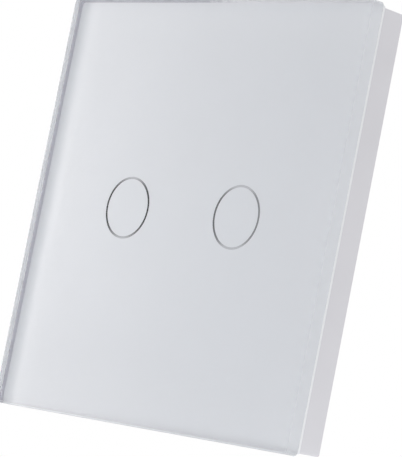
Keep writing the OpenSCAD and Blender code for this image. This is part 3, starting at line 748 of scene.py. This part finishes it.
body_low = chip_low + Vector((leg_reach, 0, 0))
body_high = chip_high - Vector((leg_reach, leg_thick / 2, 0))
chip = block("chip_package", body_low, body_high)
edit(chip, "FACE", lambda face: face.normal.y < -0.9)
bpy.ops.transform.resize(value=chip_taper, center_override=(0, body_low.y, 0))
done()
dimple_at = body_low + Vector((dimple_in, 0, dimple_in))
dimple_end = dimple_at + Vector((0, dimple_deep, 0))
cut(chip, rod("dimple", dimple_radius, dimple_at - Vector((0, MM, 0)), dimple_end, sides=24))
soften(chip, width=0.06 * MM)
paint(chip, chip_black)

leg = block("leg", (chip_low.x, chip_high.y - leg_thick, -leg_wide / 2),
            (chip_low.x + 0.5 * leg_reach, chip_high.y, leg_wide / 2))
edit(leg, "FACE", lambda face: face.normal.x > 0.9)
knee = body_low.y + knee_share * (body_high.y - body_low.y)
drawn_out(0.25 * leg_reach, knee - chip_high.y, 0)
drawn_out(0.35 * leg_reach, 0, 0)
done()
soften(leg, width=0.03 * MM, segments=1)
paint(leg, tinned)
row = [again(leg, (0, 0, (i - (legs - 1) / 2) * leg_pitch)) for i in range(legs)]
bpy.data.objects.remove(leg)
row = joined(row)
other_row = again(row, (0, 0, 0))
edit(other_row, "FACE", lambda face: True)
bpy.ops.transform.mirror(
    orient_type="GLOBAL", constraint_axis=(True, False, False), center_override=(0, 0, 0)
)
outward()
done()
chip = joined([chip, row, other_row])
settle(chip, "wall_part", "chip_black", (), "touch_chip")

# Six chip resistors stand by the chip. Each is a crumb of ceramic with a dark film on top and a tinned cap
# over either end, by which it is soldered down.
group_low, group_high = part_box("chip_resistors")
crumb = Vector((1.6, 0.5, 0.8)) * MM
crumb_pitch, crumbs = 2 * MM, 3
cap_long, cap_proud = 0.35 * MM, 0.04 * MM
film_black = moulded("resistor_film", (0.02, 0.02, 0.024), rough=0.3, grain=4000, depth=0.005 * MM)

rows = []
for low in (group_low, group_high - crumb - Vector((0, 0, (crumbs - 1) * crumb_pitch))):
    for i in range(crumbs):
        corner = low + Vector((0, 0, i * crumb_pitch))
        end = corner + crumb
        core = block("core", corner + Vector((cap_long, cap_proud, cap_proud)),
                     end - Vector((cap_long, 0, cap_proud)))
        soften(core, width=0.03 * MM, segments=1)
        paint(core, film_black)
        rows.append(core)
        for start in (corner.x, end.x - cap_long):
            cap = block("cap", (start, corner.y, corner.z), (start + cap_long, end.y, end.z))
            soften(cap, width=0.06 * MM)
            paint(cap, tinned)
            rows.append(cap)
resistors = joined(rows)
resistors.name = resistors.data.name = "resistor_crumbs"
settle(resistors, "wall_part", "chip_black", (), "chip_resistors")

# Each touch area has one indicator light. It is a white moulded cup, soldered to the touch board, and filled
# with a dome of yellow resin.
cup_rim, cup_deep = 0.25 * MM, 0.2 * MM
dome_radius, dome_height, dome_sunk = 1.1 * MM, 0.6 * MM, 0.3 * MM
cup_white = moulded("light_cup", (0.8, 0.8, 0.77), rough=0.35, grain=3000, depth=0.006 * MM)
resin, resin_shader, place = surface("light_resin", {"Roughness": 0.12, "Coat Weight": 0.6})
haze = mottle(place, scale=2500, detail=3)
tint(resin_shader, haze, [(0.3, (0.72, 0.6, 0.16)), (0.7, (0.82, 0.72, 0.24))])

dome_turns = [i * math.pi / 16 for i in range(9)]
dome_profile = [(dome_radius * math.sin(a), dome_height * math.cos(a)) for a in dome_turns]
dome_profile += [(dome_radius, -dome_sunk), (0, -dome_sunk)]
for side in both:
    low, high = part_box("led_" + side)
    middle = (low + high) / 2
    seat = Vector((low.x, low.y + dome_height, low.z))
    light = block("light_" + side, seat, high)
    edit(light, "FACE", lambda face: face.normal.y < -0.9)
    bpy.ops.mesh.inset(thickness=cup_rim)
    drawn_out(0, cup_deep, 0)
    done()
    soften(light, width=0.06 * MM)
    paint(light, cup_white)
    dome = lathe("dome", dome_profile, (middle.x, seat.y, middle.z), to_room)
    light = fitted(light, dome, resin)
    settle(light, "wall_part", "led", (), "led_" + side)

# A milky cap stands over each light and spreads it behind the ring. It is a thin cup of clear plastic with a
# white filler, moulded with a round shoulder.
milky, milky_shader, place = surface(
    "cap_milk", {"Subsurface Weight": 0.6, "Subsurface Scale": 1.5 * MM, "IOR": 1.45}
)
swirl = mottle(place, scale=300, detail=4)
tint(milky_shader, swirl, [(0.3, (0.84, 0.84, 0.83)), (0.7, (0.9, 0.9, 0.89))])
(swirl * 0.1 + 0.28).into(milky_shader, "Roughness")

cap_wall, cap_round = 0.7 * MM, 0.5 * MM


def shoulder(radius, tall, bend, steps):
    """The profile of a round shoulder, from its side up to its top."""
    turns = [i * math.pi / 2 / steps for i in range(steps + 1)]
    return [(radius - bend * (1 - math.cos(a)), tall - bend * (1 - math.sin(a))) for a in turns]


for side in both:
    low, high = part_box("light_cap_" + side)
    outer = (high.x - low.x) / 2
    inner = outer - cap_wall
    tall = high.y - low.y
    profile = [(0, tall - cap_wall), (inner, tall - cap_wall), (inner, 0), (outer, 0)]
    profile += shoulder(outer, tall, cap_round, steps=6) + [(0, tall)]
    cap = lathe("cap_" + side, profile, (spring_x[side], high.y, (low.z + high.z) / 2), to_room, sides=48)
    settle(cap, "wall_part", "light_cap", (milky,), "light_cap_" + side)


# The touch springs carry the sensing field from the board to the back of the print. Each is three open turns
# of gold-plated steel wire, coiled round its light cap and soldered to the board by one end.
def wire(name, points, radius):
    """Round wire along a line of points."""
    bpy.ops.curve.primitive_nurbs_path_add()
    line = bpy.context.object.data
    line.splines.clear()
    run = line.splines.new("POLY")
    run.points.add(len(points) - 1)
    for point, at in zip(run.points, points):
        point.co = (*at, 1)
    line.bevel_depth = radius
    line.bevel_resolution = 4
    line.use_fill_caps = True
    bpy.ops.object.convert(target="MESH")
    piece = placed(name)
    edit(piece, "VERT", lambda vert: True)
    bpy.ops.mesh.remove_doubles(threshold=0.0001 * MM)
    outward()
    done(50)
    return piece


gilt = metal("spring_gilt", (0.83, 0.62, 0.28), rough=0.25)
wire_radius = 0.3 * MM
spring_turns, steps = 3, 40
for side, x in spring_x.items():
    low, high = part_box("touch_spring_" + side)
    tall = high.y - low.y
    bend = 2 * wire_radius
    swing = [i / (spring_turns * steps) for i in range(spring_turns * steps + 1)]
    route = [(0, 0), (0, 0.6 * bend)] + [(s, bend + (tall - 2 * bend) * s) for s in swing[1:-1]]
    route += [(1, tall - 0.6 * bend), (1, tall)]
    coil = []
    for share, up in route:
        turned = math.tau * spring_turns * share
        coil.append((x + spring_radius * math.cos(turned), high.y - up, spring_radius * math.sin(turned)))
    spring = wire("spring_" + side, coil, wire_radius)
    settle(spring, "wall_part", "spring_wire", (gilt,), "touch_spring_" + side)

# A header joins the two boards: a black moulded strip that sets them apart, and five square brass pins
# pressed through it and soldered to both.
nick_deep = 0.45 * MM
header = twin("header_strip", "header_block")
for i in range(1, pins):
    for z in (header_low.z, header_high.z):
        x = header_low.x + i * pin_pitch
        cut(header, rod("nick", nick_deep, (x, header_low.y - MM, z), (x, header_high.y + MM, z), sides=4))
soften(header, width=0.06 * MM)
settle(header, "wall_part", "chip_black", (chip_black,), "header_block")

brass = metal("pin_brass", (0.74, 0.56, 0.26), rough=0.3, drawn=(1, 0.08, 1))
header_pins = twin("header_pin_row", "header_pins")
bevelled(header_pins, lambda edge: not along(edge, 1), width=0.16 * MM, segments=2)
done()
settle(header_pins, "wall_part", "pin_brass", (brass,), "header_pins")

# The power board stands behind the touch board on the header. Its parts are on the side of the housing's
# back, and their leads are soldered on the other side, towards the touch board.
relay_leads = ((0.15, 0.08), (0.85, 0.08), (0.5, 0.24), (0.15, 0.92), (0.85, 0.92))
leads_at = {
    "relay_base_left": relay_leads,
    "relay_base_right": relay_leads,
    "film_capacitor": ((0.5, 0.12), (0.5, 0.88)),
    "electrolytic_capacitor": ((0.5, 0.3), (0.5, 0.7)),
    "power_transformer": ((0.15, 0.1), (0.85, 0.1), (0.15, 0.9), (0.85, 0.9)),
    "varistor": ((0.5, 0.25), (0.5, 0.75)),
    "bridge_rectifier": ((0.15, 0.2), (0.85, 0.2), (0.15, 0.8), (0.85, 0.8)),
    "fuse_resistor": ((0.037, 0.5), (0.963, 0.5)),
}


def leads(node):
    """The places, in X and Z, where the leads of a node go through the power board."""
    low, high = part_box(node)
    return [(low.x + u * (high.x - low.x), low.z + v * (high.z - low.z)) for u, v in leads_at[node]]


board_low, board_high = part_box("power_board")
power_board = twin("power_board_sheet", "power_board")
soften(power_board, width=0.05 * MM)
paint(power_board, green)
power_board = soldered(power_board, board_low.y, [at for node in leads_at for at in leads(node)])
settle(power_board, "wall_part", "board", (), "power_board")

# Two relays switch the mains, one for each touch area. Each has a smooth blue case over a black base, a coil
# on a bobbin, an iron core and yoke, a brass contact, and an armature that rocks on the yoke's end.
relay_blue = moulded("relay_blue", (0.035, 0.11, 0.36), rough=0.26, grain=1500, depth=0.006 * MM)
nylon = moulded("bobbin_nylon", (0.7, 0.66, 0.56), rough=0.45)
copper = metal("coil_copper", (0.62, 0.27, 0.1), rough=0.3, drawn=(1, 1, 0.1))
nickel = metal("relay_nickel", (0.5, 0.5, 0.5), rough=0.34)
flange_thick, core_hole, winding_radius, windings = 0.8 * MM, 1.22 * MM, 2.8 * MM, 24
turn_bulge = ((0, 0.86), (0.2, 0.96), (0.5, 1), (0.8, 0.96))
lead_radius, lead_round, lead_bite = 0.3 * MM, 0.08 * MM, 0.3 * MM
lead_tip = board_low.y - 0.6 * MM
pin_bite = 0.4 * MM


def on_leads(piece, node, top):
    """Adds tinned round leads to a piece, from a height down through the power board."""
    for x, z in leads(node):
        lead = rod("lead", lead_radius, (x, lead_tip, z), (x, top, z), sides=16)
        soften(lead, width=lead_round)
        piece = fitted(piece, lead, tinned)
    return piece


for side in both:
    dressed(
        "relay_case_shell_" + side, "relay_case_" + side, "wall_part", "relay_plastic", relay_blue,
        width=0.25 * MM, segments=3
    )

    base = twin("relay_base_block_" + side, "relay_base_" + side)
    soften(base, width=0.1 * MM)
    paint(base, chip_black)
    base = on_leads(base, "relay_base_" + side, top=board_high.y + pin_bite)
    settle(base, "wall_part", "chip_black", (), "relay_base_" + side)

    low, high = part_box("relay_coil_" + side)
    middle = (low + high) / 2
    wound_end = high.z - low.z - flange_thick
    turn_pitch = (wound_end - flange_thick) / windings
    profile = []
    for i in range(windings):
        profile += [(winding_radius * r, flange_thick + turn_pitch * (i + part)) for part, r in turn_bulge]
    profile += [(core_hole, wound_end), (core_hole, flange_thick)]
    coil = lathe("relay_winding_" + side, profile, (middle.x, middle.y, low.z))
    paint(coil, copper)
    for z in (low.z, high.z - flange_thick):
        flange = block("flange", (low.x, low.y, z), (high.x, high.y, z + flange_thick))
        cut(flange, rod("hole", core_hole, (middle.x, middle.y, z - MM), (middle.x, middle.y, z + 2 * MM)))
        soften(flange, width=0.12 * MM)
        coil = fitted(coil, flange, nylon)
    settle(coil, "wall_part", "coil_copper", (), "relay_coil_" + side)

    name, node = "relay_%s_piece_" + side, "relay_%s_" + side
    dressed(name % "iron", node % "iron", "wall_part", "relay_iron", nickel, width=0.06 * MM)
    dressed(name % "contact", node % "contact", "wall_part", "pin_brass", brass, width=0.06 * MM)
    dressed(name % "armature", node % "armature", "armature_" + side, "relay_iron", nickel, width=0.06 * MM)

# The film capacitor drops the mains voltage for the electronics. It is a wound metal film, cast with resin
# into a yellow plastic box with a sunk field on its face, on two leads.
field_rim, field_step = 0.7 * MM, 0.12 * MM
yellow = moulded("film_yellow", (0.72, 0.5, 0.05), rough=0.3, grain=1200, depth=0.01 * MM)
low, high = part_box("film_capacitor")
film = block("film_box", low, high)
soften(film, width=0.6 * MM, segments=4)
edit(film, "FACE", lambda face: face.normal.y > 0.99)
bpy.ops.mesh.inset(thickness=field_rim)
bpy.ops.mesh.inset(thickness=field_step, depth=-field_step)
done()
paint(film, yellow)
film = on_leads(film, "film_capacitor", top=low.y + lead_bite)
settle(film, "wall_part", "film_yellow", (), "film_capacitor")

# The electrolytic capacitor smooths the low voltage. It is an aluminium can, rolled in at its rubber bung
# and shrunk into a dark sleeve with a pale stripe, and its top is scored so that it can open safely.
to_wall = (-math.pi / 2, 0, 0)
low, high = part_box("electrolytic_capacitor")
can_at = Vector(((low.x + high.x) / 2, low.y, (low.z + high.z) / 2))
can_radius, can_tall = (high.x - low.x) / 2, high.y - low.y
top_sunk, top_thick, top_in = 0.12 * MM, 0.1 * MM, 0.14 * MM
score_long, score_wide, score_deep = 1.2 * can_radius, 0.15 * MM, 0.08 * MM
sleeve, sleeve_shader, place = surface(
    "can_sleeve", {"Roughness": 0.3, "Coat Weight": 0.4, "Coat Roughness": 0.1}
)
stripe = place.axis("X") > can_at.x + 0.7 * can_radius
tint(sleeve_shader, stripe, [(0.4, (0.02, 0.024, 0.09)), (0.6, (0.5, 0.52, 0.58))])
aluminium = metal("can_aluminium", (0.72, 0.73, 0.74), rough=0.35)

bung = [(0, 0), (0.6, 0), (0.86, 0.05), (0.94, 0.2), (1, 0.6)]
groove = [(1, 1.5), (0.95, 1.75), (0.9, 2), (0.95, 2.25), (1, 2.5)]
rim = [(1, 0.5), (0.96, 0.15), (0.85, 0)]
profile = [(can_radius * reach, height * MM) for reach, height in bung + groove]
profile += [(can_radius * reach, can_tall - drop * MM) for reach, drop in rim]
profile += [(0.8 * can_radius, can_tall - top_sunk), (0, can_tall - top_sunk)]
can = lathe("can_body", profile, can_at, to_wall, sides=48)
paint(can, sleeve)
top_radius = 0.79 * can_radius
profile = [(0, 0), (top_radius, 0), (top_radius, top_thick), (0, top_thick)]
top = lathe("top", profile, can_at + Vector((0, can_tall - top_in, 0)), to_wall, sides=48)
crossed(top, can_at + Vector((0, can_tall, 0)), score_long, score_wide, score_deep)
can = fitted(can, top, aluminium)
settle(can, "wall_part", "can_sleeve", (), "electrolytic_capacitor")

# The transformer steps the voltage down. A ferrite core, glued up from two halves, holds a winding under
# yellow tape.
ferrite = moulded("core_ferrite", (0.07, 0.065, 0.062), rough=0.5, grain=1800, depth=0.02 * MM)
taped, taped_shader, place = surface("winding_tape", {"Roughness": 0.28})
laps = place.node(
    "TexWave", {"bands_direction": "Z"}, {"Vector": place, "Scale": 220, "Distortion": 1.2}, "Fac"
)
tint(taped_shader, laps, [(0.3, (0.6, 0.42, 0.06)), (0.8, (0.75, 0.56, 0.12))])
relief(taped_shader, laps, strength=0.3, depth=0.05 * MM)

low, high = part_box("power_transformer")
iron, lap_clear = 2 * MM, 0.15 * MM
core = twin("transformer_core", "power_transformer")
soften(core, width=0.15 * MM)
paint(core, ferrite)
inside = Vector((lap_clear, iron + lap_clear, iron + lap_clear))
winding = block("winding", low + inside, high - inside)
soften(winding, width=0.5 * MM, segments=4)
core = fitted(core, winding, taped)
settle(core, "wall_part", "transformer_iron", (), "power_transformer")

# The varistor takes mains surges. It is a disc of zinc oxide with a wire soldered to either face, dipped in
# blue resin, and it stands on edge on its wires.
to_right = (0, math.pi / 2, 0)
coat = moulded("varistor_coat", (0.035, 0.14, 0.42), rough=0.3, grain=700, depth=0.03 * MM)
low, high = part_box("varistor")
disc_radius, half_thick = (high.z - low.z) / 2, (high.x - low.x) / 2
disc_at = Vector(((low.x + high.x) / 2, high.y - disc_radius, (low.z + high.z) / 2))
rim = [(0, -1), (0.72, -1), (0.9, -0.85), (0.98, -0.5), (1, 0)]
rim += [(reach, -height) for reach, height in reversed(rim[:-1])]
profile = [(disc_radius * reach, half_thick * height) for reach, height in rim]
disc = lathe("varistor_disc", profile, disc_at, to_right, sides=48)
paint(disc, coat)
disc = on_leads(disc, "varistor", top=disc_at.y)
settle(disc, "wall_part", "varistor_coat", (), "varistor")

# The bridge rectifier turns the alternating current into direct current. Its four diodes are moulded into a
# black block with sloping sides, which stands on four flat legs.
bridge_taper = (0.92, 1, 0.92)
flat_half, flat_thin = 0.4 * MM, 0.15 * MM
low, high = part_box("bridge_rectifier")
bridge = block("bridge_block", low, high)
edit(bridge, "FACE", lambda face: face.normal.y > 0.9)
bpy.ops.transform.resize(value=bridge_taper, center_override=(low + high) / 2)
done()
soften(bridge, width=0.12 * MM)
paint(bridge, chip_black)
for x, z in leads("bridge_rectifier"):
    flat = block("flat", (x - flat_half, lead_tip, z - flat_thin),
                 (x + flat_half, low.y + lead_bite, z + flat_thin))
    soften(flat, width=0.05 * MM)
    bridge = fitted(bridge, flat, tinned)
settle(bridge, "wall_part", "chip_black", (), "bridge_rectifier")

# The fuse resistor burns open if the electronics fail. It is a ceramic rod with pressed end caps under a tan
# cement, marked with coloured bands, and its wires are bent down into the board.
low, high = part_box("fuse_resistor")
middle = (low + high) / 2
fuse_half = (high.x - low.x) / 2 - 2 * lead_radius
fuse_radius = (high.z - low.z) / 2
axis_y = high.y - fuse_radius
tan, black, red, gold = (0.5, 0.34, 0.2), (0.03, 0.03, 0.03), (0.4, 0.03, 0.02), (0.55, 0.4, 0.12)
band_wide, band_blur = 0.05, 0.005
cement, cement_shader, place = surface("fuse_cement", {"Roughness": 0.55})
along_rod = place.axis("X") - (middle.x - fuse_half)
bands = [(0, tan)]
for at, band in ((0.24, black), (0.36, red), (0.48, gold), (0.7, black)):
    bands += [(at, tan), (at + band_blur, band), (at + band_wide, band), (at + band_wide + band_blur, tan)]
tint(cement_shader, along_rod * (1 / (2 * fuse_half)), bands)

ends = [(0, -1), (0.75, -1), (0.96, -0.93), (1, -0.85), (1, -0.68), (0.9, -0.58)]
ends += [(reach, -height) for reach, height in reversed(ends)]
profile = [(fuse_radius * reach, fuse_half * height) for reach, height in ends]
fuse = lathe("fuse_rod", profile, (middle.x, axis_y, middle.z), to_right)
paint(fuse, cement)
corner = lead_radius * 0.5
for side in (-1, 1):
    start = middle.x + side * (fuse_half - lead_radius)
    end = middle.x + side * (fuse_half + lead_radius)
    route = [(start, axis_y), (end - side * corner, axis_y), (end, axis_y - corner), (end, lead_tip)]
    tail = wire("tail", [(x, y, middle.z) for x, y in route], lead_radius)
    fuse = fitted(fuse, tail, tinned)
settle(fuse, "wall_part", "fuse_body", (), "fuse_resistor")

# Each terminal has a bent brass bar, soldered into the power board. A wire is pressed against its front
# face, which has fine grooves across it.
bars_low, bars_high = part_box("terminal_bars")
bar_thick, groove_deep, groove_pitch, grooves = 0.8 * MM, 0.12 * MM, 0.7 * MM, 6
bars = twin("terminal_bar_set", "terminal_bars")
y = bars_high.y - bar_thick
for i in range(grooves):
    z = bars_low.z + (i + 0.8) * groove_pitch
    cut(bars, rod("groove", groove_deep, (bars_low.x - MM, y, z), (bars_high.x + MM, y, z), sides=4))
soften(bars, width=0.06 * MM)
settle(bars, "wall_part", "pin_brass", (brass,), "terminal_bars")

# Three terminal screws stay captive in the housing's back, turned from steel with a slotted head. Each draws
# up a wire clamp, folded from steel sheet to a box and tapped at one end, which grips the wire with grooves.
# Both are zinc plated.
thread_crest, thread_root, thread_pitch = 1.45 * MM, 1.2 * MM, 0.5 * MM
head_tall, head_round, head_chamfer = 1.08 * MM, 0.22 * MM, 0.1 * MM
slot_wide, slot_deep = 0.8 * MM, 0.6 * MM
clamp_wall, grip_deep, grips = 1 * MM, 0.15 * MM, 5
clamp_zinc = metal("clamp_zinc", (0.6, 0.6, 0.57), rough=0.36)

for number in ("1", "2", "3"):
    low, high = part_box("terminal_screw_" + number)
    middle = (low + high) / 2
    radius = (high.x - low.x) / 2
    profile = [(0, 0), (radius - head_chamfer, 0), (radius, head_chamfer)]
    profile += shoulder(radius, head_tall, head_round, steps=4) + [(0, head_tall)]
    head_at = (middle.x, high.y - head_tall, middle.z)
    screw = lathe("terminal_screw_piece_" + number, profile, head_at, to_wall, sides=64)
    half = Vector((radius + MM, slot_deep, slot_wide / 2))
    slot_at = Vector((middle.x, high.y, middle.z))
    cut(screw, block("slot", slot_at - half, slot_at + half))
    soften(screw, width=0.04 * MM)
    shank_end = high.y - 0.8 * head_tall
    shank = thread("shank", thread_crest, thread_root, thread_pitch, low.y, shank_end, middle)
    screw = joined([screw, shank])
    settle(screw, "screw_" + number, "screw_steel", (plated,), "terminal_screw_" + number)

    low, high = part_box("wire_clamp_" + number)
    clamp = twin("wire_clamp_piece_" + number, "wire_clamp_" + number)
    y = low.y + clamp_wall
    for i in range(grips):
        z = low.z + (i + 1) * (high.z - low.z) / (grips + 1)
        grip = rod("grip", grip_deep, (low.x + clamp_wall, y, z), (high.x - clamp_wall, y, z), sides=4)
        cut(clamp, grip)
    soften(clamp, width=0.12 * MM)
    settle(clamp, "clamp_" + number, "clamp_steel", (clamp_zinc,), "wire_clamp_" + number)
